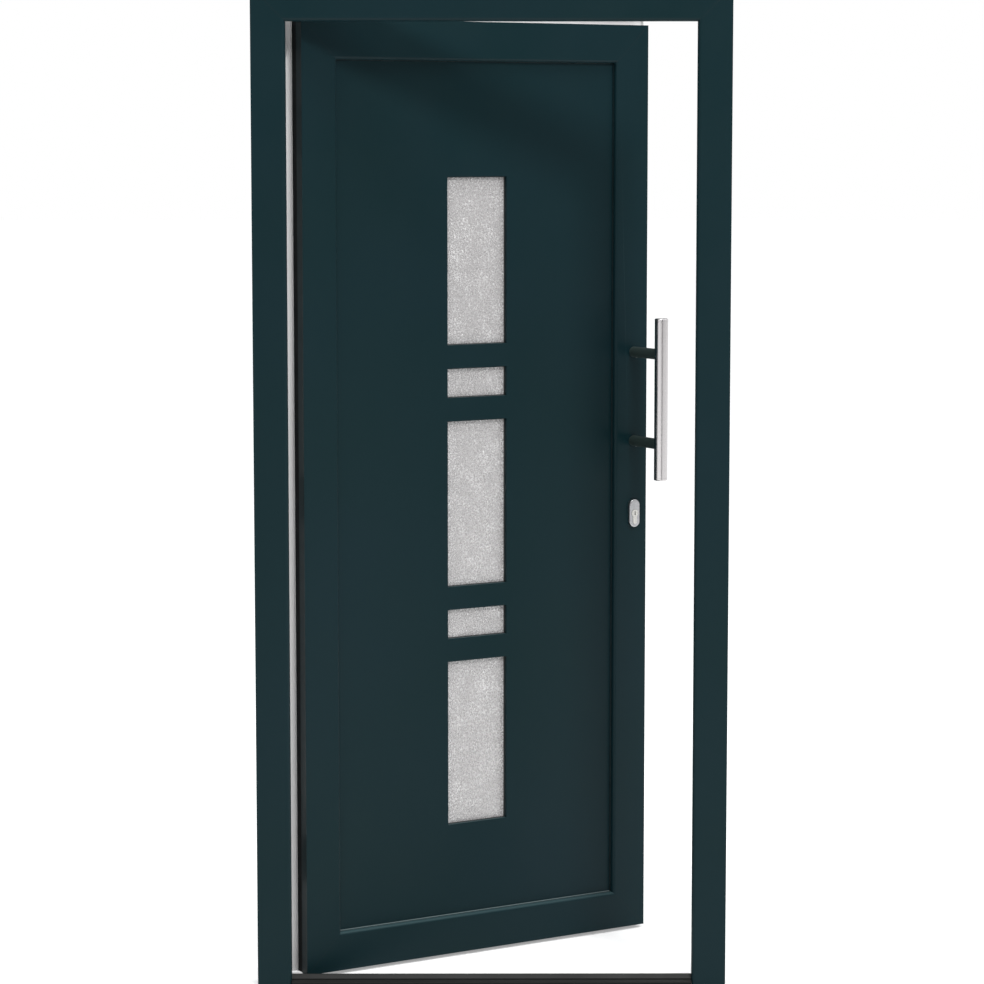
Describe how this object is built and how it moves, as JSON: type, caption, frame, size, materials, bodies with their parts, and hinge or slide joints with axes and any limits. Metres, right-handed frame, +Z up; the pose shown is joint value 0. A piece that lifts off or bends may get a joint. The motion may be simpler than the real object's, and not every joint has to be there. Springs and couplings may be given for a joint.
{
  "type": "panelled front door with frame",
  "caption": "Inward-opening aluminium front door standing ajar in its frame, flat panel with a column of obscure-glass slots, round pull bar, inside lever and lock.",
  "frame": {"origin": "middle of the threshold's underside, halfway through the frame's depth", "axes": "+X to the right seen from outside, +Y inwards, +Z up; the leaf is stored ajar"},
  "size_m": [1, 0.5813, 2.115],
  "materials": {
    "outer_coat": "dark blue-green powder coat, satin",
    "inner_coat": "white powder coat, satin",
    "thermal_break": "black glass-filled polyamide",
    "seal_rubber": "black rubber seal",
    "brush": "black pile brush",
    "threshold_aluminium": "anodised aluminium",
    "hinge_coat": "white powder coat",
    "hinge_pin_steel": "stainless steel",
    "panel_foam": "rigid insulating foam",
    "obscure_glass": "fine-grained obscure glass",
    "clear_glass": "clear glass",
    "spacer": "aluminium spacer",
    "lock_steel": "plated steel",
    "cylinder_brass": "nickel-plated brass",
    "stainless": "satin stainless steel",
    "standoff_coat": "dark powder coat, matt"
  },
  "bodies": {
    "frame": {"frame_hinge_jamb_outer": "outer_coat", "frame_hinge_jamb_inner": "inner_coat", "frame_head_outer": "outer_coat", "frame_head_inner": "inner_coat", "frame_lock_jamb_outer": "outer_coat", "frame_lock_jamb_inner": "inner_coat", "frame_thermal_breaks": "thermal_break", "frame_seal": "seal_rubber", "threshold_base": "thermal_break", "threshold_ridge": "outer_coat", "threshold_inner_plate": "threshold_aluminium", "threshold_seal": "seal_rubber", "strike_plate": "lock_steel", "hinge_bottom_frame_half": "hinge_coat", "hinge_middle_frame_half": "hinge_coat", "hinge_top_frame_half": "hinge_coat", "hinge_pins": "hinge_pin_steel"},
    "leaf": {"leaf_hinge_stile_outer": "outer_coat", "leaf_hinge_stile_inner": "inner_coat", "leaf_top_rail_outer": "outer_coat", "leaf_top_rail_inner": "inner_coat", "leaf_lock_stile_outer": "outer_coat", "leaf_lock_stile_inner": "inner_coat", "leaf_bottom_rail_outer": "outer_coat", "leaf_bottom_rail_inner": "inner_coat", "leaf_thermal_breaks": "thermal_break", "leaf_lip_seal": "seal_rubber", "leaf_brush_seal": "brush", "glazing_bead_hinge_stile": "inner_coat", "glazing_bead_top_rail": "inner_coat", "glazing_bead_lock_stile": "inner_coat", "glazing_bead_bottom_rail": "inner_coat", "panel_outer_skin": "outer_coat", "panel_inner_skin": "inner_coat", "panel_core": "panel_foam", "panel_outer_seal": "seal_rubber", "panel_inner_seal": "seal_rubber", "window_1_outer_pane": "obscure_glass", "window_2_outer_pane": "obscure_glass", "window_3_outer_pane": "obscure_glass", "window_4_outer_pane": "obscure_glass", "window_5_outer_pane": "obscure_glass", "window_inner_panes": "clear_glass", "window_spacers": "spacer", "hinge_bottom_leaf_half": "hinge_coat", "hinge_middle_leaf_half": "hinge_coat", "hinge_top_leaf_half": "hinge_coat", "lock_faceplate": "lock_steel", "lock_case": "lock_steel", "cylinder_body": "cylinder_brass", "outer_rosette": "stainless", "inner_backplate": "stainless", "pull_bar": "stainless", "pull_standoffs": "standoff_coat"},
    "lever": {"lever_handle": "stainless", "lever_spindle": "lock_steel", "lock_follower": "lock_steel"},
    "latch": {"latch_bolt": "lock_steel"},
    "key": {"key_plug": "cylinder_brass"},
    "bolt": {"deadbolt": "lock_steel"}
  },
  "joints": [
    {"name": "door_swing", "type": "hinge", "parent": "frame", "child": "leaf", "pos_m": [-0.458, 0.073, 0], "axis": [0, 0, 1], "range_deg": [-31, 59]},
    {"name": "lever_turn", "type": "hinge", "parent": "leaf", "child": "lever", "pos_m": [0.30303, 0.47427, 1.053], "axis": [0.515, -0.8572, 0], "range_deg": [0, 35], "stiffness_Nm_per_rad": 1.2, "springref_deg": -34.38},
    {"name": "latch_slide", "type": "slide", "parent": "leaf", "child": "latch", "axis": [-0.8572, -0.515, 0], "range_m": [0, 0.014]},
    {"name": "key_turn", "type": "hinge", "parent": "leaf", "child": "key", "pos_m": [0.30303, 0.47427, 0.961], "axis": [0.515, -0.8572, 0], "range_deg": [0, 360]},
    {"name": "deadbolt_slide", "type": "slide", "parent": "leaf", "child": "bolt", "axis": [0.8572, 0.515, 0], "range_m": [0, 0.02]}
  ],
  "couplings": [
    {"joint": "latch_slide", "follows": "lever_turn", "m_per_rad": 0.022918},
    {"joint": "key_turn", "follows": "deadbolt_slide", "rad_per_m": 314.15}
  ]
}
